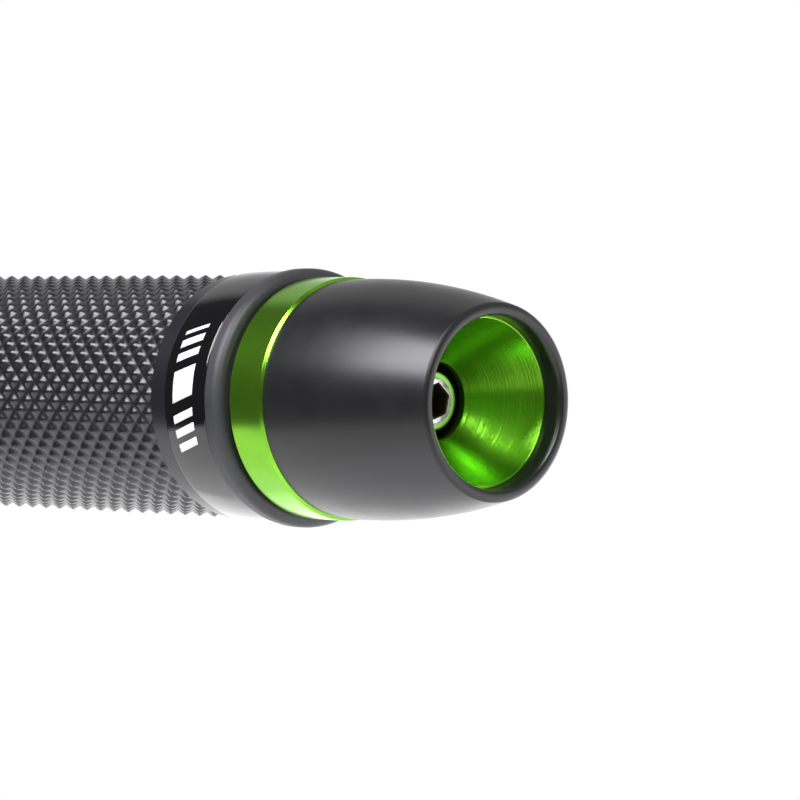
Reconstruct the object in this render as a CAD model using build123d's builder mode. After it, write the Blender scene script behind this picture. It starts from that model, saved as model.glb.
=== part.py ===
from build123d import *
import os

# A motorcycle handlebar grip with its bar-end weight, throttle side.
# The bar lies along X. The origin is the centre of the bare handlebar end, and +X runs out along the bar
# to the bar end, which is the rider's right. +Y is forward and +Z is up.
# Sizes are in millimetres. A "station" is a distance along X.

os.makedirs("parts", exist_ok=True)

# Handlebar
bar_radius = 11.1
bar_wall = 2.3
stub_length = 45.0
stop_line_width = 2.5
stop_line_depth = 0.25
stop_line_setback = 0.5
bar_edge_break = 0.4

# Throttle tube, which turns on the bar, and its cable drum
journal_clearance = 0.10
sleeve_wall = 1.4
sleeve_setback = 0.5
rib_count = 8
rib_width = 1.6
rib_height = 0.5
bead_height = 0.4
bead_width = 1.0
drum_flange_radius = 19.0
drum_flange_width = 1.8
cable_groove_radius = 16.0
cable_groove_width = 3.6
nipple_pocket_radius = 2.4
nipple_pocket_angle = 160.0

# Rubber grip, collar and end ring
grip_length = 122.0
knurl_radius = 16.45
margin_radius = 16.7
margin_width = 3.2
inner_flange_radius = 20.5
inner_flange_width = 3.5
inner_flange_round = 1.2
shoulder_rise = 1.6
shoulder_length = 6.0
collar_width = 8.4
collar_radius = 17.15
collar_crown = 0.12
collar_edge_break = 0.3
end_ring_width = 3.1
end_ring_radius = 17.5
end_ring_round = 0.9
end_ring_inner_round = 0.4

# Gap between the turning grip and the fixed bar end, and the thrust washer in it
end_gap = 0.8
thrust_washer_width = 0.5
thrust_washer_reach = 1.2
thrust_washer_clearance = 0.1

# Spacer ring
spacer_radius = 16.3
spacer_width = 6.6
spacer_chamfer = 0.35

# Barrel
barrel_length = 28.3
barrel_back_radius = 15.95
barrel_middle_radius = 15.55
barrel_mouth_radius = 13.0
lip_width = 1.7
lip_fall = 0.4
lip_slope_width = 0.5
lip_round = 0.8
web_width = 9.1
counterbore_clearance = 0.3

# Cup
cup_setback = 2.9
cup_mouth_radius = 10.95
cup_depth = 9.05
cup_hole_radius = 5.2
cup_dish = 0.35
cup_floor = 1.0
cup_band = 5.0
cup_floor_rim = 1.2

# O-rings
cup_cord_radius = 0.35
spigot_cord_radius = 0.75
o_ring_side_play = 0.1

# Bar-end screw, M5 x 70 socket head, and its washers
screw_radius = 2.5
screw_length = 70.0
screw_head_radius = 4.25
screw_head_height = 5.0
screw_head_round = 1.4
socket_flats = 4.0
socket_depth = 2.8
socket_chamfer = 0.2
socket_turn = -10.0
screw_tip_chamfer = 0.5
screw_hole_clearance = 0.25
thread_clearance = 0.05
flat_washer_radius = 5.0
flat_washer_width = 1.0
spring_washer_radius = 4.3
spring_washer_width = 1.3
spring_washer_split = 0.8
spring_washer_slant = 25.0

# Expander inside the handlebar
spigot_clearance = 0.1
spigot_reach = 9.0
sleeve_rubber_length = 12.0
expander_washer_width = 1.0
expander_washer_clearance = 0.4
expander_sleeve_bore_clearance = 0.5
plug_clearance = 0.3
plug_body_length = 12.0
plug_nose_length = 5.0
plug_nose_root_radius = 7.0
plug_nose_tip_radius = 4.5
plug_socket_clearance = 0.2
nut_flats = 8.0
nut_width = 4.0

# Stations and radii that follow from those sizes
bore_radius = bar_radius - bar_wall
sleeve_bore_radius = bar_radius + journal_clearance
sleeve_radius = sleeve_bore_radius + sleeve_wall
drum_length = 3 * drum_flange_width + 2 * cable_groove_width
drum_start = stub_length
grip_start = drum_start + drum_length
grip_end = grip_start + grip_length
end_ring_start = grip_end - end_ring_width
collar_start = end_ring_start - collar_width
knurl_end = collar_start - margin_width
bead_station = end_ring_start + end_ring_width / 2
sleeve_end = grip_end - sleeve_setback
bar_end = grip_end + end_gap
barrel_back = bar_end + spacer_width
barrel_front = barrel_back + barrel_length
web_face = barrel_back + web_width
screw_seat = web_face + flat_washer_width + spring_washer_width
screw_hole_radius = screw_radius + screw_hole_clearance
counterbore_radius = flat_washer_radius + counterbore_clearance
mouth_bore_radius = barrel_mouth_radius - lip_width
lip_crest_radius = barrel_mouth_radius - lip_slope_width
cup_front = barrel_front - cup_setback
cup_floor_face = cup_front - cup_depth
cup_back = cup_floor_face - cup_floor
cup_band_start = cup_front - cup_band
cup_back_radius = cup_hole_radius + cup_floor_rim
cup_groove_radius = mouth_bore_radius - 2 * cup_cord_radius
cup_groove_station = cup_front - cup_band / 2
spigot_radius = bore_radius - spigot_clearance
spigot_start = bar_end - spigot_reach
spigot_groove_radius = bore_radius - 2 * spigot_cord_radius
spigot_groove_station = bar_end - spigot_reach / 2
outer_sleeve_front = spigot_start - expander_washer_width
outer_sleeve_back = outer_sleeve_front - sleeve_rubber_length
inner_sleeve_front = outer_sleeve_back - expander_washer_width
inner_sleeve_back = inner_sleeve_front - sleeve_rubber_length
plug_front = inner_sleeve_back - plug_socket_clearance
plug_back = plug_front - plug_body_length
nut_front = plug_back + nut_width


def turn(*outline, mode=Mode.ADD):
    """A turned shape: the closed outline of (station, radius) points, revolved about the bar's axis."""
    with BuildSketch(Plane.XZ) as section:
        with BuildLine():
            Polyline(*outline, close=True)
        make_face()
    revolve(section.sketch, axis=Axis.X, mode=mode)


def ring(start, end, inner, outer, mode=Mode.ADD):
    """A plain turned ring between two stations and two radii."""
    turn((start, inner), (start, outer), (end, outer), (end, inner), mode=mode)


def rib_pattern(mode):
    """The lengthwise ribs that key the rubber to the throttle tube, or the slots that take them."""
    with BuildSketch(Plane.YZ.offset(grip_start)) as ribs:
        with PolarLocations(sleeve_radius, rib_count):
            Rectangle(2 * rib_height, rib_width)
    extrude(ribs.sketch, amount=knurl_end - grip_start, mode=mode)


# The handlebar is a plain steel tube with a shallow turned line that shows where the throttle tube stops.
with BuildPart() as handlebar_tube:
    ring(0, bar_end, bore_radius, bar_radius)
    chamfer(handlebar_tube.faces().sort_by(Axis.X)[0].edges(), length=bar_edge_break)
    stop_line_end = stub_length - stop_line_setback
    stop_line_floor = bar_radius - stop_line_depth
    ring(
        stop_line_end - stop_line_width,
        stop_line_end,
        stop_line_floor,
        bar_radius + stop_line_depth,
        mode=Mode.SUBTRACT,
    )
handlebar_tube.part.label = "handlebar_tube"
export_step(handlebar_tube.part, "parts/handlebar_tube.step")

# The throttle tube is one nylon moulding: a thin ribbed sleeve with a two-groove cable drum at its inboard
# end. Each groove has a pocket for a barrel-shaped cable nipple.
with BuildPart() as throttle_tube:
    ring(drum_start, sleeve_end, sleeve_bore_radius, sleeve_radius)
    rib_pattern(Mode.ADD)
    for flange in range(3):
        flange_start = drum_start + flange * (drum_flange_width + cable_groove_width)
        ring(flange_start, flange_start + drum_flange_width, sleeve_bore_radius, drum_flange_radius)
    ring(drum_start, grip_start, sleeve_bore_radius, cable_groove_radius)
    for groove in range(2):
        groove_start = drum_start + drum_flange_width
        groove_start += groove * (drum_flange_width + cable_groove_width)
        pocket_angle = nipple_pocket_angle * (1 - 2 * groove)
        with BuildSketch(Plane.YZ.offset(groove_start)):
            with PolarLocations(cable_groove_radius, 1, start_angle=pocket_angle):
                Circle(nipple_pocket_radius)
        extrude(amount=cable_groove_width, mode=Mode.SUBTRACT)
    turn(
        (bead_station - bead_width, sleeve_radius - bead_height),
        (bead_station - bead_width, sleeve_radius),
        (bead_station, sleeve_radius + bead_height),
        (bead_station + bead_width, sleeve_radius),
        (bead_station + bead_width, sleeve_radius - bead_height),
    )
throttle_tube.part.label = "throttle_tube"
export_step(throttle_tube.part, "parts/throttle_tube.step")

# The rubber is moulded over the sleeve's ribs, with a hand flange inboard and a plain margin outboard.
# Its knurled length is a plain cylinder at the mean height of the knurl.
with BuildPart() as grip_rubber:
    shoulder_start = grip_start + inner_flange_width
    turn(
        (grip_start, sleeve_radius),
        (grip_start, inner_flange_radius),
        (shoulder_start, inner_flange_radius),
        (shoulder_start, knurl_radius + shoulder_rise),
        (shoulder_start + shoulder_length, knurl_radius),
        (knurl_end, knurl_radius),
        (knurl_end, margin_radius),
        (collar_start, margin_radius),
        (collar_start, sleeve_radius),
    )
    flange_rims = grip_rubber.edges().filter_by(GeomType.CIRCLE).sort_by(SortBy.RADIUS)[-2:]
    fillet(flange_rims, radius=inner_flange_round)
    rib_pattern(Mode.SUBTRACT)
grip_rubber.part.label = "grip_rubber"
export_step(grip_rubber.part, "parts/grip_rubber.step")

# The collar is a gloss moulded band with a faint crown, held between the rubber and the end ring.
with BuildPart() as collar:
    with BuildSketch(Plane.XZ):
        with BuildLine():
            crown = ThreePointArc(
                (collar_start, collar_radius),
                ((collar_start + end_ring_start) / 2, collar_radius + collar_crown),
                (end_ring_start, collar_radius),
            )
            Polyline(
                crown @ 1,
                (end_ring_start, sleeve_radius),
                (collar_start, sleeve_radius),
                crown @ 0,
            )
        make_face()
    revolve(axis=Axis.X)
    chamfer(collar.edges().filter_by(GeomType.CIRCLE).sort_by(SortBy.RADIUS)[-2:], length=collar_edge_break)
collar.part.label = "collar"
export_step(collar.part, "parts/collar.step")

# The end ring is soft rubber, snapped over the bead at the sleeve's end.
with BuildPart() as end_ring:
    turn(
        (end_ring_start, sleeve_radius),
        (end_ring_start, end_ring_radius),
        (grip_end, end_ring_radius),
        (grip_end, sleeve_radius),
        (bead_station + bead_width, sleeve_radius),
        (bead_station, sleeve_radius + bead_height),
        (bead_station - bead_width, sleeve_radius),
    )
    rims = end_ring.edges().filter_by(GeomType.CIRCLE).sort_by(SortBy.RADIUS)[-2:].sort_by(Axis.X)
    fillet(rims[0], radius=end_ring_inner_round)
    fillet(rims[1], radius=end_ring_round)
end_ring.part.label = "end_ring"
export_step(end_ring.part, "parts/end_ring.step")

# The thrust washer is thin acetal, on the bar between the turning sleeve and the fixed spacer ring.
with BuildPart() as thrust_washer:
    washer_bore = bar_radius + thrust_washer_clearance
    ring(bar_end - thrust_washer_width, bar_end, washer_bore, washer_bore + thrust_washer_reach)
thrust_washer.part.label = "thrust_washer"
export_step(thrust_washer.part, "parts/thrust_washer.step")

# The spacer ring is turned from bar, with a bright chamfer beside the barrel. It seats on the handlebar's
# end.
with BuildPart() as spacer_ring:
    ring(bar_end, barrel_back, bore_radius, spacer_radius)
    rims = spacer_ring.edges().filter_by(GeomType.CIRCLE).sort_by(SortBy.RADIUS)[-2:].sort_by(Axis.X)
    chamfer(rims, length=spacer_chamfer)
spacer_ring.part.label = "spacer_ring"
export_step(spacer_ring.part, "parts/spacer_ring.step")

# The barrel is the weight: a convex turned body with a lip that slopes back outside its crest, a conical seat
# for the cup, a counterbore for the screw's head and a thick web that the screw clamps.
with BuildPart() as barrel:
    with BuildSketch(Plane.XZ):
        with BuildLine():
            flank = ThreePointArc(
                (barrel_back, barrel_back_radius),
                (barrel_back + barrel_length / 2, barrel_middle_radius),
                (barrel_front - lip_fall, barrel_mouth_radius),
            )
            Polyline(
                flank @ 1,
                (barrel_front, lip_crest_radius),
                (barrel_front, mouth_bore_radius),
                (cup_band_start, mouth_bore_radius),
                (cup_back, cup_back_radius),
                (cup_back, counterbore_radius),
                (web_face, counterbore_radius),
                (web_face, screw_hole_radius),
                (barrel_back, screw_hole_radius),
                flank @ 0,
            )
        make_face()
    revolve(axis=Axis.X)
    fillet(barrel.faces().sort_by(Axis.X)[-1].edges(), radius=lip_round)
barrel.part.label = "barrel"
export_step(barrel.part, "parts/barrel.step")

# The cup is a turned dish, steep at its hole, pushed into the barrel's mouth and held by its O-ring.
with BuildPart() as cup:
    with BuildSketch(Plane.XZ):
        with BuildLine():
            middle_radius = (cup_hole_radius + cup_mouth_radius) / 2 + cup_dish
            dish = ThreePointArc(
                (cup_floor_face, cup_hole_radius),
                (cup_floor_face + cup_depth / 2, middle_radius),
                (cup_front, cup_mouth_radius),
            )
            Polyline(
                dish @ 1,
                (cup_front, mouth_bore_radius),
                (cup_band_start, mouth_bore_radius),
                (cup_back, cup_back_radius),
                (cup_back, cup_hole_radius),
                dish @ 0,
            )
        make_face()
    revolve(axis=Axis.X)
    groove_half = cup_cord_radius + o_ring_side_play
    ring(
        cup_groove_station - groove_half,
        cup_groove_station + groove_half,
        cup_groove_radius,
        mouth_bore_radius + cup_cord_radius,
        mode=Mode.SUBTRACT,
    )
cup.part.label = "cup"
export_step(cup.part, "parts/cup.step")

# The cup's O-ring grips the barrel's bore.
with BuildPart() as cup_o_ring:
    with BuildSketch(Plane.XZ):
        with Locations((cup_groove_station, cup_groove_radius + cup_cord_radius)):
            Circle(cup_cord_radius)
    revolve(axis=Axis.X)
cup_o_ring.part.label = "cup_o_ring"
export_step(cup_o_ring.part, "parts/cup_o_ring.step")

# The spigot centres the spacer ring and the barrel on the handlebar's bore.
with BuildPart() as spigot:
    ring(spigot_start, barrel_back, screw_hole_radius, spigot_radius)
    groove_half = spigot_cord_radius + o_ring_side_play
    ring(
        spigot_groove_station - groove_half,
        spigot_groove_station + groove_half,
        spigot_groove_radius,
        bore_radius,
        mode=Mode.SUBTRACT,
    )
spigot.part.label = "spigot"
export_step(spigot.part, "parts/spigot.step")

# The spigot's O-ring stops it rattling in the bore.
with BuildPart() as spigot_o_ring:
    with BuildSketch(Plane.XZ):
        with Locations((spigot_groove_station, spigot_groove_radius + spigot_cord_radius)):
            Circle(spigot_cord_radius)
    revolve(axis=Axis.X)
spigot_o_ring.part.label = "spigot_o_ring"
export_step(spigot_o_ring.part, "parts/spigot_o_ring.step")

# The flat washer lies on the barrel's web.
with BuildPart() as flat_washer:
    ring(web_face, web_face + flat_washer_width, screw_hole_radius, flat_washer_radius)
flat_washer.part.label = "flat_washer"
export_step(flat_washer.part, "parts/flat_washer.step")

# The spring washer is split on a slant.
with BuildPart() as spring_washer:
    ring(web_face + flat_washer_width, screw_seat, screw_hole_radius, spring_washer_radius)
    split_plane = Plane(
        origin=(screw_seat - spring_washer_width / 2, 0, (screw_hole_radius + spring_washer_radius) / 2),
        x_dir=(1, 0, 0),
        z_dir=(0, 0, 1),
    )
    with BuildSketch(split_plane):
        Rectangle(4 * spring_washer_width, spring_washer_split, rotation=spring_washer_slant)
    extrude(amount=spring_washer_radius / 2, both=True, mode=Mode.SUBTRACT)
spring_washer.part.label = "spring_washer"
export_step(spring_washer.part, "parts/spring_washer.step")

# The screw is a socket-head cap screw with a well rounded head.
with BuildPart() as bar_end_screw:
    screw_top = screw_seat + screw_head_height
    screw_tip = screw_seat - screw_length
    turn(
        (screw_tip, 0),
        (screw_tip, screw_radius - screw_tip_chamfer),
        (screw_tip + screw_tip_chamfer, screw_radius),
        (screw_seat, screw_radius),
        (screw_seat, screw_head_radius),
        (screw_top, screw_head_radius),
        (screw_top, 0),
    )
    head_rim = bar_end_screw.faces().sort_by(Axis.X)[-1].edges()
    fillet(head_rim, radius=screw_head_round)
    socket_radius = socket_flats / 2
    with BuildSketch(Plane.YZ.offset(screw_top - socket_depth)):
        RegularPolygon(socket_radius, 6, major_radius=False, rotation=30 + socket_turn)
    extrude(amount=socket_depth, mode=Mode.SUBTRACT)
    mouth_edges = bar_end_screw.faces().sort_by(Axis.X)[-1].inner_wires()[0].edges()
    chamfer(mouth_edges, length=socket_chamfer)
bar_end_screw.part.label = "bar_end_screw"
export_step(bar_end_screw.part, "parts/bar_end_screw.step")

# The outer expander sleeve is a plain rubber bush.
expander_radius = bore_radius
expander_bore_radius = screw_radius + expander_sleeve_bore_clearance
with BuildPart() as expander_sleeve_outer:
    ring(outer_sleeve_back, outer_sleeve_front, expander_bore_radius, expander_radius)
expander_sleeve_outer.part.label = "expander_sleeve_outer"
export_step(expander_sleeve_outer.part, "parts/expander_sleeve_outer.step")

# The inner expander sleeve has a conical socket that the plug is drawn into.
with BuildPart() as expander_sleeve_inner:
    turn(
        (inner_sleeve_front, expander_bore_radius),
        (inner_sleeve_front, expander_radius),
        (inner_sleeve_back, expander_radius),
        (inner_sleeve_back, plug_nose_root_radius + plug_socket_clearance),
        (inner_sleeve_back + plug_nose_length, plug_nose_tip_radius + plug_socket_clearance),
        (inner_sleeve_back + plug_nose_length, expander_bore_radius),
    )
expander_sleeve_inner.part.label = "expander_sleeve_inner"
export_step(expander_sleeve_inner.part, "parts/expander_sleeve_inner.step")

# Two steel washers share the load between the spigot and the two sleeves.
with BuildPart() as expander_washers:
    washer_radius = bore_radius - expander_washer_clearance
    ring(outer_sleeve_front, spigot_start, screw_hole_radius, washer_radius)
    ring(inner_sleeve_front, outer_sleeve_back, screw_hole_radius, washer_radius)
expander_washers.part.label = "expander_washers"
export_step(expander_washers.part, "parts/expander_washers.step")

# The cone plug is drawn into the inner sleeve, and holds the nut in a hexagonal pocket.
with BuildPart() as cone_plug:
    plug_radius = bore_radius - plug_clearance
    turn(
        (plug_back, screw_hole_radius),
        (plug_back, plug_radius),
        (plug_front, plug_radius),
        (plug_front, plug_nose_root_radius),
        (plug_front + plug_nose_length, plug_nose_tip_radius),
        (plug_front + plug_nose_length, screw_hole_radius),
    )
    with BuildSketch(Plane.YZ.offset(plug_back)):
        RegularPolygon(nut_flats / 2, 6, major_radius=False)
    extrude(amount=nut_width, mode=Mode.SUBTRACT)
cone_plug.part.label = "cone_plug"
export_step(cone_plug.part, "parts/cone_plug.step")

# The captive nut is a plain hex nut, pressed into the plug's pocket.
with BuildPart() as captive_nut:
    with BuildSketch(Plane.YZ.offset(plug_back)):
        RegularPolygon(nut_flats / 2, 6, major_radius=False)
        Circle(screw_radius + thread_clearance, mode=Mode.SUBTRACT)
    extrude(amount=nut_width)
captive_nut.part.label = "captive_nut"
export_step(captive_nut.part, "parts/captive_nut.step")
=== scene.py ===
import math

import bmesh
import bpy
import numpy as np
from mathutils import Matrix, Vector


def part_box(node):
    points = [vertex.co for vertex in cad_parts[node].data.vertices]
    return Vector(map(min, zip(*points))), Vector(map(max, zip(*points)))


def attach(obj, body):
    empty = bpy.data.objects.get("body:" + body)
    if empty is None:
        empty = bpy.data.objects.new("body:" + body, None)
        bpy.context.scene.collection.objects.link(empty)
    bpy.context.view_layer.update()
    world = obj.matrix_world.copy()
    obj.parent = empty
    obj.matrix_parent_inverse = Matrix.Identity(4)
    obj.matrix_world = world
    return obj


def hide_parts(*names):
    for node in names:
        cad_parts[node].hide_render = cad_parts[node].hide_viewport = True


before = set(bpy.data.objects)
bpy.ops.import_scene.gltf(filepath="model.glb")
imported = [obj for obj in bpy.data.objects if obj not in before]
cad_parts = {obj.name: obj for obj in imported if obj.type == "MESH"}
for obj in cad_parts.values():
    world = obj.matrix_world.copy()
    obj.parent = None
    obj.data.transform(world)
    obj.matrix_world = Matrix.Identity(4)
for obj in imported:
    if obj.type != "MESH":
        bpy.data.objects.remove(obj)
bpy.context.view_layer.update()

# The bar lies along X, with its bare end at the origin and the bar end towards +X. A station is a distance
# along X. Sizes are in millimetres until a mesh is made, which is in metres.


# Handlebar tube: a drawn steel tube, painted satin black, with its inboard edge filed round. A shallow
# turned line shows where the throttle tube stops. Everything else is threaded onto it or held inside it.
METRES = 0.001
CORNER_STEPS = 7
HOLD_SHARE = 0.05
SHARP_DEGREES = 50


def extent(node):
    """A turned node's first station, last station and outer radius, read from its box."""
    low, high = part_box(node)
    return low.x / METRES, high.x / METRES, high.z / METRES


def outline(*corners):
    """The closed section of a turned piece, from (station, radius, round) corners, as (station, radius) rows.

    It runs outboard along the outside and back along the inside. A rounded corner becomes the arc that is
    tangent to its two sides: the centre lies on the bisector at round / sin(half the angle), and the arc's
    points are the two spokes mixed by sines. A holding point just before and after it keeps the sides flat.
    """
    corners = np.array(corners, float)
    here, rounding = corners[:, :2], corners[:, 2:]
    back = np.roll(here, 1, axis=0) - here
    on = np.roll(here, -1, axis=0) - here
    back /= np.linalg.norm(back, axis=1, keepdims=True)
    on /= np.linalg.norm(on, axis=1, keepdims=True)
    half = np.arccos(np.clip((back * on).sum(axis=1, keepdims=True), -1, 1)) / 2
    reach = rounding / np.tan(half)
    bisector = (back + on) / np.maximum(np.linalg.norm(back + on, axis=1, keepdims=True), 1e-9)
    centre = here + bisector * rounding / np.sin(half)
    swing = np.maximum(math.pi - 2 * half, 1e-6)[:, None]
    mix = np.linspace(0, 1, CORNER_STEPS)[None, :, None]
    first = (here + back * reach - centre)[:, None]
    last = (here + on * reach - centre)[:, None]
    arc = centre[:, None] + (np.sin((1 - mix) * swing) * first + np.sin(mix * swing) * last) / np.sin(swing)
    hold = reach + HOLD_SHARE * rounding
    rows = np.concatenate([(here + back * hold)[:, None], arc, (here + on * hold)[:, None]], axis=1)
    rows = rows.reshape(-1, 2)
    moved = np.linalg.norm(rows - np.roll(rows, 1, axis=0), axis=1) > 1e-4
    return rows[moved]


def spun(station, radius, columns):
    """Points about the bar's axis: (station, radius cos a, radius sin a), for evenly spaced angles a."""
    angle = np.linspace(0, 2 * math.pi, columns, endpoint=False)[None, :]
    station = np.reshape(station, (len(station), -1)) + 0 * angle
    radius = np.reshape(radius, (len(radius), -1)) + 0 * angle
    return np.stack([station, radius * np.cos(angle), radius * np.sin(angle)], axis=-1) * METRES


def skin(name, points, loop=True, crossed=None):
    """A mesh over a grid of points whose rows are closed rings. The last row joins the first in a loop.

    Each four neighbours make a face that looks away from the material. Where crossed is given, each face
    is cut in two triangles, along its other diagonal where crossed is true. Rings of no radius are merged.
    """
    rows, columns = points.shape[:2]
    index = np.arange(rows * columns).reshape(rows, columns)
    if loop:
        index = np.vstack([index, index[:1]])
    index = np.hstack([index, index[:, :1]])
    near, far = index[:-1], index[1:]
    a, b, c, d = near[:, :-1], near[:, 1:], far[:, 1:], far[:, :-1]
    if crossed is None:
        faces = np.stack([a, b, c, d], axis=-1).reshape(-1, 4)
    else:
        straight = np.stack([a, b, c, a, c, d], axis=-1)
        other = np.stack([a, b, d, b, c, d], axis=-1)
        faces = np.where(crossed[..., None], other, straight).reshape(-1, 3)
    mesh = bpy.data.meshes.new(name)
    mesh.from_pydata(points.reshape(-1, 3), [], faces.tolist())
    if not loop:
        poles = bmesh.new()
        poles.from_mesh(mesh)
        bmesh.ops.remove_doubles(poles, verts=poles.verts, dist=1e-7)
        poles.to_mesh(mesh)
        poles.free()
    mesh.shade_smooth()
    mesh.set_sharp_from_angle(angle=math.radians(SHARP_DEGREES))
    piece = bpy.data.objects.new(name, mesh)
    bpy.context.scene.collection.objects.link(piece)
    return piece


def turned(name, rows, columns=256):
    """A turned piece: its section carried once round the bar's axis."""
    return skin(name, spun(rows[:, 0], rows[:, 1], columns))


def linear(colour):
    """An sRGB hex colour as linear red, green, blue and alpha: ((c + 0.055) / 1.055) ** 2.4, or c / 12.92."""
    channels = np.array([int(colour[i : i + 2], 16) for i in (1, 3, 5)]) / 255
    channels = np.where(channels > 0.04045, ((channels + 0.055) / 1.055) ** 2.4, channels / 12.92)
    return (*channels.tolist(), 1.0)


def add(tree, kind, inputs=None, **settings):
    """A new node with its settings. Each input is a value, or the socket that is linked to it."""
    node = tree.nodes.new("ShaderNode" + kind)
    for name, value in settings.items():
        setattr(node, name, value)
    for name, value in (inputs or {}).items():
        if isinstance(value, bpy.types.NodeSocket):
            tree.links.new(value, node.inputs[name])
        else:
            node.inputs[name].default_value = value
    return node


def blank_material(name):
    """A material with no nodes but its coordinates: the material, its tree, and the place in metres."""
    material = bpy.data.materials.new(name)
    material.use_nodes = True
    tree = material.node_tree
    tree.nodes.clear()
    return material, tree, add(tree, "TexCoord").outputs["Object"]


def noise(tree, place, size, detail, **others):
    """Cloudy noise from 0 to 1, its largest patches about size millimetres across."""
    inputs = {"Vector": place, "Scale": 1 / (size * METRES), "Detail": detail, **others}
    return add(tree, "TexNoise", inputs).outputs["Fac"]


def tint(tree, share, first, second):
    """A colour between two hex colours: the first at share 0, the second at share 1."""
    return add(tree, "Mix", {0: share, 6: linear(first), 7: linear(second)}, data_type="RGBA").outputs[2]


def cover(tree, inputs):
    """The surface itself, a Principled shader with these inputs, joined to the output."""
    shader = add(tree, "BsdfPrincipled", inputs)
    add(tree, "OutputMaterial", {"Surface": shader.outputs["BSDF"]})


def painted_steel():
    """Satin black enamel sprayed on steel: orange peel 0.8 mm across and rubbed patches 12 mm across."""
    material, tree, place = blank_material("satin_enamel")
    peel = noise(tree, place, 0.8, 3.0)
    rub = noise(tree, place, 12, 6.0)
    shine = {"Value": rub, "From Min": 0.35, "From Max": 0.65, "To Min": 0.26, "To Max": 0.4}
    bump = add(tree, "Bump", {"Height": peel, "Distance": 0.004 * METRES, "Strength": 1.0})
    cover(
        tree,
        {
            "Base Color": tint(tree, rub, "#121213", "#1e1e20"),
            "Roughness": add(tree, "MapRange", shine).outputs["Result"],
            "Normal": bump.outputs["Normal"],
            "IOR": 1.5,
        },
    )
    return material


bar_start, bar_end, bar_radius = extent("handlebar_tube")
bar_wall = 2.3
bar_bore = bar_radius - bar_wall
stop_line_start, stop_line_end, stop_line_depth = 42.0, 44.5, 0.25
bar_section = outline(
    (bar_start, bar_radius, 0.4),
    (stop_line_start, bar_radius, 0.06),
    (stop_line_start, bar_radius - stop_line_depth, 0.06),
    (stop_line_end, bar_radius - stop_line_depth, 0.06),
    (stop_line_end, bar_radius, 0.06),
    (bar_end, bar_radius, 0.2),
    (bar_end, bar_bore, 0.2),
    (bar_start, bar_bore, 0.3),
)
bar = turned("painted_bar", bar_section)
bar.data.materials.append(painted_steel())
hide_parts("handlebar_tube")
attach(bar, "handlebar")


# Throttle tube: one glass-filled nylon moulding, a thin ribbed sleeve with a drum of two cable grooves at its
# inboard end. Each groove has a pocket for a barrel nipple. It turns on the bar.
drum_start, sleeve_end, drum_radius = extent("throttle_tube")
journal_clearance, sleeve_wall = 0.1, 1.4
sleeve_bore = bar_radius + journal_clearance
sleeve_radius = sleeve_bore + sleeve_wall
flange_width, groove_width, groove_radius = 1.8, 3.6, 16.0
nipple_radius, nipple_angle = 2.4, 160.0
rib_count, rib_width, rib_height = 8, 1.6, 0.5
bead_height, bead_width = 0.4, 1.0
grip_start, rubber_end, hand_flange_radius = extent("grip_rubber")
collar_start, collar_end, collar_radius = extent("collar")
ring_start, ring_end, ring_radius = extent("end_ring")
margin_width = 3.2
knurl_end = rubber_end - margin_width
bead_station = (ring_start + ring_end) / 2
drum = [(drum_start, sleeve_bore, 0.2)]
for flange in range(3):
    flange_start = drum_start + flange * (flange_width + groove_width)
    drum += [(flange_start, groove_radius, 0.15)] * (flange > 0)
    drum += [(flange_start, drum_radius, 0.45), (flange_start + flange_width, drum_radius, 0.45)]
    drum += [(flange_start + flange_width, groove_radius, 0.15)] * (flange < 2)
sleeve_section = outline(
    *drum,
    (grip_start, sleeve_radius, 0.1),
    (bead_station - bead_width, sleeve_radius, 0.05),
    (bead_station, sleeve_radius + bead_height, 0.2),
    (bead_station + bead_width, sleeve_radius, 0.05),
    (sleeve_end, sleeve_radius, 0.3),
    (sleeve_end, sleeve_bore, 0.3),
)


station_slack, radius_slack = 0.01, 0.2


def with_pockets_and_ribs(section, columns):
    """The sleeve's radii. In a groove, the floor drops to the nipple's circle where the pocket is, to
    R cos d - sqrt(r^2 - (R sin d)^2), where d is the angle from the pocket. A rib adds its height."""
    station, radius = section[:, :1], section[:, 1:]
    angle = np.linspace(0, 2 * math.pi, columns, endpoint=False)[None, :]
    radius = radius + 0 * angle
    for groove in range(2):
        start = drum_start + flange_width + groove * (flange_width + groove_width)
        away = angle - math.radians(nipple_angle * (1 - 2 * groove))
        sideways = groove_radius * np.sin(away)
        in_pocket = (np.abs(sideways) < nipple_radius) & (np.cos(away) > 0)
        drop = np.sqrt(np.maximum(nipple_radius**2 - sideways**2, 0))
        pocket_floor = np.where(in_pocket, groove_radius * np.cos(away) - drop, groove_radius)
        in_groove = (station > start - station_slack) & (station < start + groove_width + station_slack)
        in_groove = in_groove & (radius > sleeve_radius) & (radius < groove_radius + radius_slack)
        radius = np.where(in_groove & in_pocket, pocket_floor, radius)
    turn = angle * rib_count / (2 * math.pi)
    on_rib = np.abs(turn - np.round(turn)) * 2 * math.pi * sleeve_radius / rib_count < rib_width / 2
    ribbed = (station > grip_start) & (station < knurl_end)
    ribbed = ribbed & (radius > sleeve_bore + radius_slack) & (radius < groove_radius)
    return np.where(ribbed & on_rib, radius + rib_height, radius)


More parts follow.
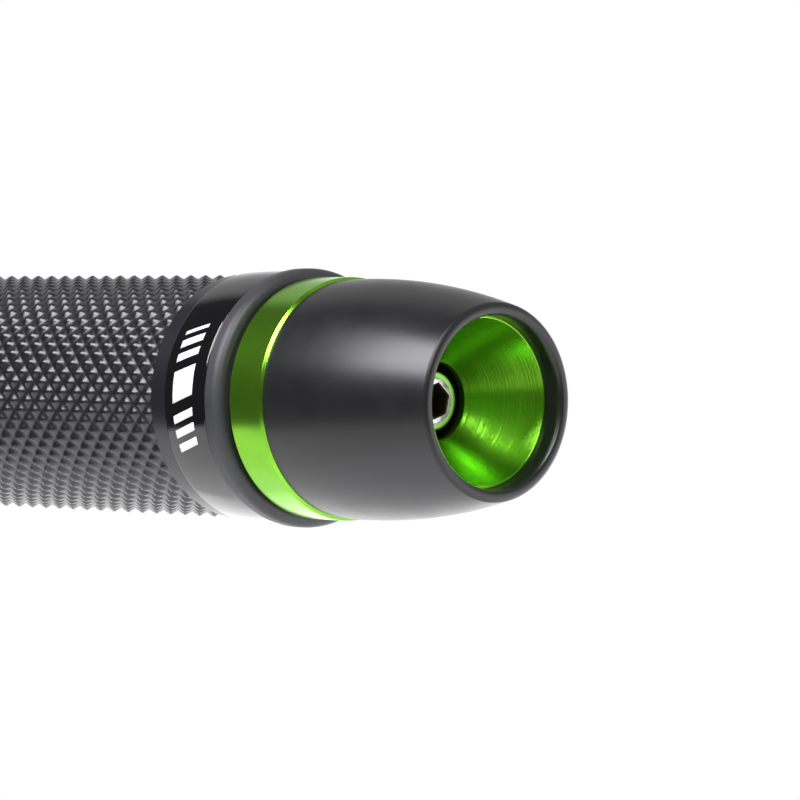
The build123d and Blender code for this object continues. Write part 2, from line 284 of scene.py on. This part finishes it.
def moulded_nylon():
    """Black glass-filled nylon from a spark-eroded mould: matt, its grain 0.25 mm across, with flow marks."""
    material, tree, place = blank_material("moulded_nylon")
    grain = noise(tree, place, 0.25, 4.0)
    flow = noise(tree, place, 9, 3.0, Distortion=1.5)
    shine = {"Value": grain, "From Min": 0.3, "From Max": 0.7, "To Min": 0.42, "To Max": 0.6}
    bump = add(tree, "Bump", {"Height": grain, "Distance": 0.006 * METRES, "Strength": 1.0})
    cover(
        tree,
        {
            "Base Color": tint(tree, flow, "#19191a", "#29292b"),
            "Roughness": add(tree, "MapRange", shine).outputs["Result"],
            "Normal": bump.outputs["Normal"],
            "IOR": 1.53,
        },
    )
    return material


sleeve_columns = 384
sleeve_radii = with_pockets_and_ribs(sleeve_section, sleeve_columns)
sleeve = skin("nylon_throttle_tube", spun(sleeve_section[:, 0], sleeve_radii, sleeve_columns))
sleeve.data.materials.append(moulded_nylon())
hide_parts("throttle_tube")
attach(sleeve, "throttle_grip")


# Grip rubber: moulded over the sleeve, with a hand flange, a tapering shoulder, a diamond knurl for most of
# its length and a plain margin beside the collar. The knurl stops dead at the margin, in part-cut pyramids.
flange_thickness = 3.5
shoulder_radius, shoulder_slope = 18.05, 1.6 / 6.0
knurl_crest, knurl_valley = 16.7, 16.08
knurl_around, knurl_pitch, knurl_cut = 38, 3.1, 0.42
samples = 8
ridge_softness, valley_softness = 0.996, 0.03
shoulder_start = grip_start + flange_thickness
knurl_first = shoulder_start + (shoulder_radius - knurl_crest) / shoulder_slope
knurl_rows = int((knurl_end - knurl_first) / knurl_pitch * samples)
knurl_stations = knurl_end - np.arange(knurl_rows, -1, -1) * knurl_pitch / samples
grip_columns = knurl_around * samples


def knurl(station, angle):
    """How high the knurl stands, from 0 to 1, and which way its valleys run.

    Along the bar and round it, a soft triangle wave arccos(k cos t) / pi rises from 0 to 1 and back. The
    height is the size of 1 - along - round, a lattice of four-sided pyramids with diagonal valleys. It is
    softened in the valleys to sqrt(size^2 + softness^2), and scaled so that the tallest point is 1.
    """
    along = 2 * math.pi * ((station - knurl_end) / knurl_pitch + knurl_cut)
    around = angle * knurl_around
    waves = [np.arccos(ridge_softness * np.cos(turn)) / math.pi for turn in (along, around)]
    tallest = 1 - 2 * math.acos(ridge_softness) / math.pi
    height = np.sqrt((1 - waves[0] - waves[1]) ** 2 + valley_softness**2) / np.hypot(tallest, valley_softness)
    return height, np.sin(along) * np.sin(around) > 0


rubber_section = outline(
    (grip_start, sleeve_radius, 0.1),
    (grip_start, hand_flange_radius, 1.2),
    (shoulder_start, hand_flange_radius, 1.2),
    (shoulder_start, shoulder_radius, 0.9),
    *[(station, knurl_valley, 0) for station in knurl_stations],
    (knurl_end, knurl_crest, 0.06),
    (rubber_end, knurl_crest, 0.25),
    (rubber_end, sleeve_radius, 0.1),
)
rubber_station = rubber_section[:, :1]
rubber_angle = np.linspace(0, 2 * math.pi, grip_columns, endpoint=False)[None, :]
knurled = np.isclose(rubber_section[:, 1:], knurl_valley) & np.isin(rubber_station, knurl_stations)
crest = knurl(rubber_station, rubber_angle)[0]
middle = np.roll(rubber_angle, -1) / 2 + rubber_angle / 2
middle[0, -1] = rubber_angle[0, -1] + rubber_angle[0, 1] / 2
crossed = knurl((rubber_station + np.roll(rubber_station, -1, axis=0)) / 2, middle)[1]
cone = shoulder_radius - shoulder_slope * (rubber_station - shoulder_start)
knurl_radii = np.maximum(knurl_valley + (knurl_crest - knurl_valley) * crest, cone)
rubber_radii = np.where(knurled, knurl_radii, rubber_section[:, 1:])
grip = skin("knurled_grip", spun(rubber_section[:, 0], rubber_radii, grip_columns), crossed=crossed)
plain_wear = 0.6
worn = grip.data.attributes.new("crest", "FLOAT", "POINT")
worn.data.foreach_set("value", np.where(knurled, crest, plain_wear).astype(np.float32).ravel())


def knurled_rubber():
    """Black natural rubber from a knurled mould: satin, greyer and more polished on the worn crests, with
    patches 7 mm across and a skin grain 0.3 mm across."""
    material, tree, place = blank_material("moulded_rubber")
    crest = add(tree, "Attribute", attribute_name="crest").outputs["Fac"]
    grain = noise(tree, place, 0.3, 5.0)
    patch = noise(tree, place, 7, 4.0)
    patchy = {0: patch, 6: tint(tree, crest, "#0c0b0f", "#1a181e"), 7: linear("#17161a")}
    shine = {"Value": crest, "From Min": 0.0, "From Max": 1.0, "To Min": 0.38, "To Max": 0.2}
    bump = add(tree, "Bump", {"Height": grain, "Distance": 0.006 * METRES, "Strength": 1.0})
    cover(
        tree,
        {
            "Base Color": add(tree, "Mix", patchy, data_type="RGBA").outputs[2],
            "Roughness": add(tree, "MapRange", shine).outputs["Result"],
            "Normal": bump.outputs["Normal"],
            "IOR": 1.6,
        },
    )
    return material


grip.data.materials.append(knurled_rubber())
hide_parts("grip_rubber")
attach(grip, "throttle_grip")


# Collar: a moulded band with a faint crown, lacquered gloss black, pressed on the sleeve beside the rubber.
# It carries a row of plain slanted bars, pad-printed in white.
collar_crown = 0.12
collar_edge_radius = collar_radius - collar_crown


def crowned(station):
    """The collar's radius: a parabola from the edge's radius at both ends to the crown in the middle."""
    across = (station - (collar_start + collar_end) / 2) / ((collar_end - collar_start) / 2)
    return collar_edge_radius + collar_crown * (1 - across**2)


rim_width = 0.6
crown_stations = np.linspace(collar_start + rim_width, collar_end - rim_width, 17)
collar_section = outline(
    (collar_start, sleeve_radius, 0.1),
    (collar_start, collar_edge_radius, 0.3),
    *[(station, crowned(station), 0) for station in crown_stations],
    (collar_end, collar_edge_radius, 0.3),
    (collar_end, sleeve_radius, 0.1),
)
collar = turned("gloss_collar", collar_section, columns=360)


def gloss_lacquer():
    """Gloss black lacquer on ABS: a clear coat over deep black, with faint polishing swirls and fine dust."""
    material, tree, place = blank_material("gloss_lacquer")
    swirl = noise(tree, place, 3, 8.0, Roughness=0.7)
    dust = noise(tree, place, 0.35, 2.0)
    shine = {"Value": swirl, "From Min": 0.3, "From Max": 0.7, "To Min": 0.07, "To Max": 0.16}
    cover(
        tree,
        {
            "Base Color": tint(tree, dust, "#060607", "#0e0e10"),
            "Roughness": add(tree, "MapRange", shine).outputs["Result"],
            "IOR": 1.5,
            "Coat Weight": 0.5,
            "Coat Roughness": 0.05,
        },
    )
    return material


def printed_white():
    """White pad-printing ink: matt, nearly opaque, with a little unevenness 0.4 mm across."""
    material, tree, place = blank_material("pad_printing_ink")
    mottle = noise(tree, place, 0.4, 3.0)
    cover(
        tree,
        {
            "Base Color": tint(tree, mottle, "#dcdcda", "#f6f6f4"),
            "Roughness": 0.45,
            "IOR": 1.5,
        },
    )
    return material


def slanted_bar(round_from, width, low, high, lean):
    """One printed bar: a plate on the collar between two stations, its sides leaning by lean across it.

    The place round the collar is the start plus the share of the width plus the lean, as an angle from the
    side that faces -Y. The grid is the ink's top, and stands an ink's thickness above the collar.
    """
    across = np.linspace(0, 1, 5)[None, :]
    along = np.linspace(0, 1, 7)[:, None]
    station = low + (high - low) * along + 0 * across
    angle = (round_from + width * across + lean * (along - 0.5)) / collar_radius
    top = crowned(station) + ink_thickness
    return np.stack([station, -top * np.cos(angle), top * np.sin(angle)], axis=-1) * METRES


ink_thickness, back_margin, front_margin, bar_lean = 0.02, 2.0, 2.4, 1.3
mark_low, mark_high = collar_start + back_margin, collar_end - front_margin
# Each bar's start round the collar, and its width.
bars = [(-7.4, 1.1), (-5.4, 1.1), (-3.4, 1.1), (-0.6, 4.2), (5.0, 1.1), (7.0, 1.1), (9.0, 0.55)]
plates = np.array([slanted_bar(start, width, mark_low, mark_high, bar_lean) for start, width in bars])
plate_rows, plate_columns = plates.shape[1:3]
plate_index = np.arange(plates[..., 0].size).reshape(len(bars), plate_rows, plate_columns)
corners = [plate_index[:, :-1, :-1], plate_index[:, 1:, :-1], plate_index[:, 1:, 1:], plate_index[:, :-1, 1:]]
plate_faces = np.stack(corners, axis=-1).reshape(-1, 4)
plate_mesh = bpy.data.meshes.new("printed_bars")
plate_mesh.from_pydata(plates.reshape(-1, 3), [], plate_faces.tolist())
plate_mesh.shade_smooth()
marks = bpy.data.objects.new("printed_bars", plate_mesh)
bpy.context.scene.collection.objects.link(marks)
thickness = marks.modifiers.new("ink", "SOLIDIFY")
thickness.thickness = 2 * ink_thickness * METRES
thickness.offset = -1
collar.data.materials.append(gloss_lacquer())
marks.data.materials.append(printed_white())
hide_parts("collar")
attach(collar, "throttle_grip")
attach(marks, "throttle_grip")


# End ring: soft black rubber, snapped over the bead at the sleeve's end, a hair's breadth from the collar.
# Its outboard half rolls down to the green ring beside it.
ring_gap = 0.25
ring_section = outline(
    (ring_start + ring_gap, sleeve_radius, 0.1),
    (ring_start + ring_gap, ring_radius, 0.4),
    (ring_end, ring_radius, 1.3),
    (ring_end, sleeve_radius, 0.1),
)


def end_rubber():
    """Soft black rubber from a smooth mould: an even satin, charcoal grey, with a fine skin grain."""
    material, tree, place = blank_material("smooth_rubber")
    grain = noise(tree, place, 0.2, 4.0)
    patch = noise(tree, place, 5, 3.0)
    shine = {"Value": patch, "From Min": 0.3, "From Max": 0.7, "To Min": 0.42, "To Max": 0.52}
    bump = add(tree, "Bump", {"Height": grain, "Distance": 0.006 * METRES, "Strength": 1.0})
    cover(
        tree,
        {
            "Base Color": tint(tree, patch, "#262628", "#303033"),
            "Roughness": add(tree, "MapRange", shine).outputs["Result"],
            "Normal": bump.outputs["Normal"],
            "IOR": 1.52,
        },
    )
    return material


ring = turned("rubber_end_ring", ring_section, columns=360)
ring.data.materials.append(end_rubber())
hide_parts("end_ring")
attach(ring, "throttle_grip")


# Thrust washer: a thin stamped acetal ring between the turning sleeve and the fixed green ring. It is bored
# like the sleeve, to slide on the bar.
washer_start, washer_end, washer_radius = extent("thrust_washer")
washer_bore = bar_radius + journal_clearance
washer_section = outline(
    (washer_start, washer_bore, 0.04),
    (washer_start, washer_radius, 0.08),
    (washer_end, washer_radius, 0.08),
    (washer_end, washer_bore, 0.04),
)


def acetal():
    """Natural white acetal sheet: waxy, a little translucent, with faint rolled streaks."""
    material, tree, place = blank_material("acetal")
    streak = noise(tree, place, 1.5, 4.0)
    cover(
        tree,
        {
            "Base Color": tint(tree, streak, "#dedcd4", "#efeee8"),
            "Roughness": 0.38,
            "IOR": 1.48,
            "Subsurface Weight": 0.1,
            "Subsurface Radius": (0.6 * METRES, 0.6 * METRES, 0.5 * METRES),
        },
    )
    return material


thrust_washer = turned("acetal_washer", washer_section, columns=192)
thrust_washer.data.materials.append(acetal())
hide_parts("thrust_washer")
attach(thrust_washer, "handlebar")


# Spacer ring: aluminium, turned with a chamfer on each rim and anodised green. It seats on the bar's end and
# keeps the barrel off the turning grip.
spacer_start, spacer_end, spacer_radius = extent("spacer_ring")
spacer_chamfer = 0.35
spacer_section = outline(
    (spacer_start, bar_bore, 0.1),
    (spacer_start, spacer_radius - spacer_chamfer, 0.05),
    (spacer_start + spacer_chamfer, spacer_radius, 0.05),
    (spacer_end - spacer_chamfer, spacer_radius, 0.05),
    (spacer_end, spacer_radius - spacer_chamfer, 0.05),
    (spacer_end, bar_bore, 0.1),
)


def tool_marks(tree, place, spacing, depth):
    """Marks that a lathe tool leaves, as a bumped normal: noise that changes only with the station plus
    the distance from the axis, so they ring a cylinder, a cone and an end face alike."""
    along = add(tree, "SeparateXYZ", {"Vector": place}).outputs
    cross = add(tree, "CombineXYZ", {"Y": along["Y"], "Z": along["Z"]}).outputs["Vector"]
    out = add(tree, "VectorMath", {0: cross}, operation="LENGTH").outputs["Value"]
    path = add(tree, "Math", {0: along["X"], 1: out}, operation="ADD").outputs["Value"]
    marks = {"W": path, "Scale": 1 / (spacing * METRES), "Detail": 2.0, "Roughness": 0.6}
    height = add(tree, "TexNoise", marks, noise_dimensions="1D").outputs["Fac"]
    bump = {"Height": height, "Distance": depth * METRES, "Strength": 1.0}
    return add(tree, "Bump", bump).outputs["Normal"]


def green_anodised(name, deep, bright, roughness, marks_depth):
    """Green dyed anodising on turned aluminium: a clear oxide over coloured metal. The dye is a little
    uneven, tool marks 0.25 mm apart draw the lights out across them, and the oxide adds a thin shine."""
    material, tree, place = blank_material(name)
    dye = noise(tree, place, 4, 5.0)
    cover(
        tree,
        {
            "Base Color": tint(tree, dye, deep, bright),
            "Metallic": 0.94,
            "Roughness": roughness,
            "Normal": tool_marks(tree, place, 0.25, marks_depth),
            "Coat Weight": 0.06,
            "Coat Roughness": 0.15,
        },
    )
    return material


spacer = turned("green_spacer_ring", spacer_section, columns=360)
spacer.data.materials.append(green_anodised("green_anodised_ring", "#68b22a", "#88c636", 0.2, 0.0025))
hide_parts("spacer_ring")
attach(spacer, "handlebar")


# Barrel: the weight itself, a convex body turned from aluminium bar, with a rounded lip, a conical seat for
# the cup and a counterbore for the screw's head. It is anodised black over fine tool marks, and the screw
# clamps its web.
barrel_start, barrel_end, _ = extent("barrel")
barrel_back, barrel_middle, barrel_mouth = 15.95, 15.55, 13.0
web_width, head_bore, screw_hole = 9.1, 5.3, 2.75
lip_width, lip_fall, lip_slope_width, lip_round = 1.7, 0.4, 0.5, 0.8
mouth_bore = barrel_mouth - lip_width
web_face = barrel_start + web_width
cup_start, cup_end, _ = extent("cup")
cup_band, cup_back_radius = 5.0, 6.4
cup_band_start = cup_end - cup_band


def through_three(station, first, middle, last):
    """The radius at a station on the circle through three (station, radius) points.

    The centre is where the perpendicular bisectors meet, found from two linear equations, and the radius at
    a station is the centre's height plus or minus sqrt(R^2 - (station - centre)^2), on the middle's side.
    """
    first, middle, last = map(np.array, (first, middle, last))
    sides = 2 * np.array([middle - first, last - first])
    sums = np.array([middle @ middle - first @ first, last @ last - first @ first])
    centre = np.linalg.solve(sides, sums)
    side = np.sign(middle[1] - centre[1])
    spread = np.sum((first - centre) ** 2)
    return centre[1] + side * np.sqrt(spread - (station - centre[0]) ** 2)


flank_end = barrel_end - lip_fall
back_inset, lip_inset = 0.3, 0.6
flank_stations = np.linspace(barrel_start + back_inset, flank_end - lip_inset, 60)
flank_ends = (barrel_start, barrel_back), (flank_end, barrel_mouth)
flank_middle = ((barrel_start + barrel_end) / 2, barrel_middle)
flank = through_three(flank_stations, flank_ends[0], flank_middle, flank_ends[1])
barrel_section = outline(
    (barrel_start, screw_hole, 0.1),
    (barrel_start, barrel_back, 0.12),
    *[(station, radius, 0) for station, radius in zip(flank_stations, flank)],
    (flank_end, barrel_mouth, 0.35),
    (barrel_end, barrel_mouth - lip_slope_width, 0.85),
    (barrel_end, mouth_bore, lip_round),
    (cup_band_start, mouth_bore, 0.1),
    (cup_start, cup_back_radius, 0.1),
    (cup_start, head_bore, 0.1),
    (web_face, head_bore, 0.2),
    (web_face, screw_hole, 0.1),
)


def black_anodised():
    """Black dyed anodising on turned aluminium: a satin black with a grey sheen from the oxide, over tool
    marks 0.35 mm apart with a finer set between them."""
    material, tree, place = blank_material("black_anodising")
    patch = noise(tree, place, 6, 5.0)
    shine = {"Value": patch, "From Min": 0.3, "From Max": 0.7, "To Min": 0.29, "To Max": 0.35}
    cover(
        tree,
        {
            "Base Color": tint(tree, patch, "#111112", "#171718"),
            "Roughness": add(tree, "MapRange", shine).outputs["Result"],
            "Normal": tool_marks(tree, place, 0.35, 0.003),
            "IOR": 1.5,
        },
    )
    return material


barrel = turned("black_barrel", barrel_section, columns=360)
barrel.data.materials.append(black_anodised())
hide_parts("barrel")
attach(barrel, "handlebar")


# Cup: a dished cone turned from aluminium, which opens faster at its hole than at its mouth, and anodised
# green. It is pushed into the barrel's mouth, where an O-ring in its rim grips the bore.
cup_mouth, cup_hole, cup_dish, cup_floor = 10.95, 5.2, 0.35, 1.0
cup_floor_face = cup_start + cup_floor
cup_middle_radius = (cup_mouth + cup_hole) / 2 + cup_dish
o_ring_start, o_ring_end, _ = extent("cup_o_ring")
o_ring_play, o_ring_cord = 0.1, 0.7
groove_start, groove_end = o_ring_start - o_ring_play, o_ring_end + o_ring_play
groove_floor = mouth_bore - o_ring_cord
dish_inset = 0.25
dish_stations = np.linspace(cup_end - dish_inset, cup_floor_face + dish_inset, 40)
dish_middle = ((cup_floor_face + cup_end) / 2, cup_middle_radius)
dish = through_three(dish_stations, (cup_floor_face, cup_hole), dish_middle, (cup_end, cup_mouth))
cup_section = outline(
    (cup_start, cup_hole, 0.08),
    (cup_start, cup_back_radius, 0.08),
    (cup_band_start, mouth_bore, 0.08),
    (groove_start, mouth_bore, 0.03),
    (groove_start, groove_floor, 0.03),
    (groove_end, groove_floor, 0.03),
    (groove_end, mouth_bore, 0.03),
    (cup_end, mouth_bore, 0.08),
    (cup_end, cup_mouth, 0.1),
    *[(station, radius, 0) for station, radius in zip(dish_stations, dish)],
    (cup_floor_face, cup_hole, 0.08),
)
cup = turned("green_cup", cup_section, columns=320)
cup.data.materials.append(green_anodised("green_anodised_cup", "#68b22a", "#88c634", 0.24, 0.014))
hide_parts("cup")
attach(cup, "handlebar")


# Bar-end screw: M5 x 70 socket head cap screw, cold headed and chrome plated, with a well rounded rim. It
# runs through the barrel, the spigot and the expander to the captive nut.
screw_tip, screw_top, head_radius = extent("bar_end_screw")
screw_radius, thread_pitch, thread_depth, thread_length = 2.5, 0.8, 0.45, 24.0
lead_in_length, lead_in_fall = 1.0, 0.5
head_height, head_round, neck_round = 5.0, 1.4, 0.3
socket_apothem, socket_depth, socket_chamfer, socket_turn = 2.0, 2.8, 0.2, -10.0
head_seat = screw_top - head_height
thread_end = screw_tip + thread_length
screw_columns, rows_per_pitch = 96, 7
head_section = outline(
    (screw_top - socket_depth, 0.0, 0),
    (thread_end, 0.0, 0),
    (thread_end, screw_radius, 0),
    (head_seat - neck_round, screw_radius, 0.1),
    (head_seat, screw_radius + neck_round, 0.1),
    (head_seat, head_radius, 0.12),
    (screw_top, head_radius, head_round),
    (screw_top, socket_apothem + socket_chamfer, 0.06),
    (screw_top - socket_chamfer, socket_apothem, 0.06),
    (screw_top - socket_depth, socket_apothem, 0.05),
)
first_row = int(np.argmin(np.abs(head_section - (thread_end, screw_radius)).sum(axis=1)))
head_section = np.vstack([head_section[first_row:], [(screw_top - socket_depth, 0.0)]])
screw_angle = np.linspace(0, 2 * math.pi, screw_columns, endpoint=False)[None, :]


def threaded(station, angle):
    """The thread's radius: the screw's, less its depth times a triangle wave of station / pitch less
    angle / turn. The wave fades out over the last pitch, and the lead-in tapers to the tip."""
    phase = station / thread_pitch - angle / (2 * math.pi)
    wave = np.abs(2 * (phase - np.floor(phase)) - 1)
    run_out = np.clip((thread_end - station) / thread_pitch, 0, 1)
    lead_in = np.clip((station - screw_tip) / lead_in_length, 0, 1)
    return screw_radius - thread_depth * wave * run_out - lead_in_fall * (1 - lead_in)


def hexagon(apothem, angle):
    """A hexagon's radius at an angle: apothem / cos of the angle from the nearest flat's middle. One flat
    faces +Y, but for the socket's turn."""
    from_flat = angle - math.radians(socket_turn)
    from_flat -= np.round(from_flat / (math.pi / 3)) * (math.pi / 3)
    return apothem / np.cos(from_flat)


thread_rows = int(thread_length / thread_pitch * rows_per_pitch)
thread_stations = np.linspace(screw_tip, thread_end, thread_rows)[:, None]
thread_radii = np.vstack([0 * screw_angle, threaded(thread_stations, screw_angle)])
thread_stations = np.vstack([[[screw_tip]], thread_stations])
head_stations, head_radii = head_section[:, :1], head_section[:, 1:]
socket_slack, past_corners = 0.1, 1.3
socket_rows = (head_radii < socket_apothem + socket_chamfer + socket_slack) & (head_stations > head_seat)
socket_rows &= np.arange(len(head_section))[:, None] > len(head_section) // 2
head_radii = np.where(socket_rows, hexagon(head_radii, screw_angle), head_radii + 0 * screw_angle)
screw_stations = np.vstack([thread_stations, head_stations])
screw_radii = np.vstack([thread_radii, head_radii])
screw = skin("chrome_screw", spun(screw_stations[:, 0], screw_radii, screw_columns), loop=False)


def chrome():
    """Bright chrome on steel: a near mirror, slightly clouded, with faint polishing marks 0.3 mm apart."""
    material, tree, place = blank_material("chrome_plate")
    cloud = noise(tree, place, 1.2, 4.0)
    shine = {"Value": cloud, "From Min": 0.3, "From Max": 0.7, "To Min": 0.12, "To Max": 0.22}
    cover(
        tree,
        {
            "Base Color": tint(tree, cloud, "#d9d9d6", "#f0f0ee"),
            "Metallic": 1.0,
            "Roughness": add(tree, "MapRange", shine).outputs["Result"],
            "Normal": tool_marks(tree, place, 0.3, 0.0008),
        },
    )
    return material


def painted_socket_shade():
    """The socket's inside: dark brown steel in patches 0.5 mm across, painted as the shade in the deep
    hexagonal recess.
    """
    material, tree, place = blank_material("painted_socket_shade")
    mottle = noise(tree, place, 0.5, 4.0)
    cover(
        tree,
        {
            "Base Color": tint(tree, mottle, "#3a302c", "#6e5d54"),
            "Metallic": 0.8,
            "Roughness": 0.45,
        },
    )
    return material


screw.data.materials.append(chrome())
screw.data.materials.append(painted_socket_shade())
# Faces inside the socket take the second material: dark brown steel painted in as the recess's shade.
face_middles = np.empty(3 * len(screw.data.polygons))
screw.data.polygons.foreach_get("center", face_middles)
face_x, face_y, face_z = face_middles.reshape(-1, 3).T / METRES
in_socket = (face_x > head_seat) & (face_x < screw_top - socket_chamfer / 2)
in_socket &= np.hypot(face_y, face_z) < past_corners * socket_apothem
screw.data.polygons.foreach_set("material_index", in_socket.astype(np.int32))
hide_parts("bar_end_screw")
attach(screw, "screw")


# Inside pieces: the turned spigot and plug, the zinc-plated washers and nut, the rubber expander sleeves and
# the O-rings. They keep their shapes and take the finish of what they are made of.
def turned_aluminium():
    """Bare turned aluminium: pale grey metal with open tool marks 0.3 mm apart."""
    material, tree, place = blank_material("turned_aluminium_finish")
    patch = noise(tree, place, 3, 4.0)
    cover(
        tree,
        {
            "Base Color": tint(tree, patch, "#b9bbbd", "#cfd0d2"),
            "Metallic": 1.0,
            "Roughness": 0.35,
            "Normal": tool_marks(tree, place, 0.3, 0.002),
        },
    )
    return material


def zinc_plate():
    """Blue-passivated zinc on steel: a soft grey metal, its tint drifting from blue to straw over 2 mm."""
    material, tree, place = blank_material("zinc_plate")
    drift = noise(tree, place, 2, 4.0)
    shine = {"Value": drift, "From Min": 0.3, "From Max": 0.7, "To Min": 0.28, "To Max": 0.42}
    cover(
        tree,
        {
            "Base Color": tint(tree, drift, "#9aa2ab", "#b9b5a6"),
            "Metallic": 1.0,
            "Roughness": add(tree, "MapRange", shine).outputs["Result"],
        },
    )
    return material


def seal_rubber():
    """Black nitrile rubber: dense, a little greasy, with a fine moulded grain."""
    material, tree, place = blank_material("nitrile_rubber")
    grain = noise(tree, place, 0.2, 3.0)
    bump = add(tree, "Bump", {"Height": grain, "Distance": 0.008 * METRES, "Strength": 1.0})
    cover(
        tree,
        {
            "Base Color": tint(tree, grain, "#151515", "#202021"),
            "Roughness": 0.5,
            "Normal": bump.outputs["Normal"],
            "IOR": 1.52,
        },
    )
    return material


inside = {
    turned_aluminium: ["spigot", "cone_plug"],
    zinc_plate: ["flat_washer", "spring_washer", "expander_washers", "captive_nut"],
    seal_rubber: ["cup_o_ring", "spigot_o_ring", "expander_sleeve_outer", "expander_sleeve_inner"],
}
for finish, names in inside.items():
    material = finish()
    for name in names:
        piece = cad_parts[name]
        piece.data.materials.clear()
        piece.data.materials.append(material)


# Floor: a small pale acrylic table well below the grip, lit from inside. It turns clear towards its rim, so
# that it fades into the white surroundings. Its sizes are in metres.
floor_height, clear_from, floor_radius, floor_corners = -0.25, 0.18, 0.36, 96


def pale_table():
    """White acrylic, lit from inside, that turns clear from clear_from to the rim."""
    material, tree, place = blank_material("lit_acrylic")
    out = add(tree, "VectorMath", {0: place}, operation="LENGTH").outputs["Value"]
    fade = {"Value": out, "From Min": clear_from, "From Max": floor_radius, "To Min": 1.0, "To Max": 0.0}
    grain = noise(tree, place, 4, 2.0)
    cover(
        tree,
        {
            "Base Color": tint(tree, grain, "#eeeeee", "#f6f6f6"),
            "Roughness": 0.7,
            "Emission Color": (1.0, 1.0, 1.0, 1.0),
            "Emission Strength": 0.3,
            "Alpha": add(tree, "MapRange", fade, interpolation_type="SMOOTHSTEP").outputs["Result"],
        },
    )
    return material


floor_angle = np.linspace(0, 2 * math.pi, floor_corners, endpoint=False)
floor_rim = np.stack([np.cos(floor_angle), np.sin(floor_angle), 0 * floor_angle], axis=-1) * floor_radius
floor_mesh = bpy.data.meshes.new("floor")
floor_mesh.from_pydata(floor_rim.tolist(), [], [list(range(floor_corners))])
floor = bpy.data.objects.new("floor", floor_mesh)
floor.location = (bar_end * METRES, 0, floor_height)
bpy.context.scene.collection.objects.link(floor)
floor.data.materials.append(pale_table())


# Studio: one wide softbox in front and above, a tall strip lamp outboard of it, a white backdrop behind,
# white below and a dark room on the camera's side. The camera itself sees only white behind the object.
# Sizes and distances are in metres.
def studio_world():
    """Light by direction. The backdrop, where Y is positive, is brightest low down and falls off upwards. The
    table is bright where Z is well below the horizon. Everywhere else has the room's little light."""
    world = bpy.data.worlds.new("studio")
    world.use_nodes = True
    tree = world.node_tree
    tree.nodes.clear()
    direction = add(tree, "TexCoord").outputs["Generated"]
    axes = add(tree, "SeparateXYZ", {"Vector": direction}).outputs
    behind = {"Value": axes["Y"], "From Min": 0.0, "From Max": 0.22, "To Min": 0.0, "To Max": 1.0}
    below = {"Value": axes["Z"], "From Min": -0.29, "From Max": -0.35, "To Min": 0.0, "To Max": 1.35}
    upward = {"Value": axes["Z"], "From Min": -0.15, "From Max": 0.5, "To Min": 2.1, "To Max": 0.5}
    room_light = 0.06
    white = add(tree, "MapRange", behind, interpolation_type="SMOOTHSTEP").outputs["Result"]
    falling = add(tree, "MapRange", upward, interpolation_type="SMOOTHSTEP").outputs["Result"]
    backdrop = add(tree, "Math", {0: white, 1: falling}, operation="MULTIPLY").outputs["Value"]
    table = add(tree, "MapRange", below, interpolation_type="SMOOTHSTEP").outputs["Result"]
    lit = add(tree, "Math", {0: backdrop, 1: table}, operation="MAXIMUM").outputs["Value"]
    room = add(tree, "Math", {0: lit, 1: room_light}, operation="MAXIMUM").outputs["Value"]
    around = add(tree, "Background", {"Color": (1, 1, 1, 1), "Strength": room}).outputs["Background"]
    seen = add(tree, "Background", {"Color": (1, 1, 1, 1), "Strength": 1.0}).outputs["Background"]
    camera_ray = add(tree, "LightPath").outputs["Is Camera Ray"]
    mixed = add(tree, "MixShader", {0: camera_ray, 1: around, 2: seen}).outputs["Shader"]
    add(tree, "OutputWorld", {"Surface": mixed})
    return world


bpy.context.scene.world = studio_world()
bpy.context.scene.view_settings.view_transform = "Standard"
softbox_light = bpy.data.lights.new("softbox", "AREA")
softbox_light.shape = "RECTANGLE"
softbox_light.size, softbox_light.size_y = 1.05, 0.75
softbox_light.energy = 30.0
softbox_light.color = (0.94, 0.93, 1.0)
softbox = bpy.data.objects.new("softbox", softbox_light)
target = Vector((bar_end * METRES, 0, 0))
softbox_distance, strip_distance = 1.3, 1.2
softbox.location = target + Vector((-0.16, -0.75, 0.64)) * softbox_distance
softbox.rotation_euler = (target - softbox.location).to_track_quat("-Z", "Y").to_euler()
softbox.visible_camera = False
bpy.context.scene.collection.objects.link(softbox)
strip_light = bpy.data.lights.new("strip", "AREA")
strip_light.shape = "RECTANGLE"
strip_light.size, strip_light.size_y = 0.22, 0.75
strip_light.energy = 12.0
strip = bpy.data.objects.new("strip", strip_light)
strip.location = target + Vector((0.56, -0.46, 0.69)) * strip_distance
strip.rotation_euler = (target - strip.location).to_track_quat("-Z", "Y").to_euler()
strip.visible_camera = False
bpy.context.scene.collection.objects.link(strip)


# Camera: level with the bar, half a metre outboard of its end and to the front, looking back along it through
# a long lens, and a little rolled.
camera_right = Vector((0.6744, 0.7379, 0.0253)).normalized()
camera_back = Vector((0.7382, -0.6746, -0.0016)).normalized()
camera_up = camera_back.cross(camera_right).normalized()
camera_place = Vector((bar_end + 498.31, -440.80, -1.03)) * METRES
camera_data = bpy.data.cameras.new("camera")
camera_data.lens, camera_data.sensor_width = 222.3, 36.0
camera = bpy.data.objects.new("camera", camera_data)
turn = Matrix((camera_right, camera_up, camera_back)).transposed().to_4x4()
camera.matrix_world = Matrix.Translation(camera_place) @ turn
bpy.context.scene.collection.objects.link(camera)
bpy.context.scene.camera = camera
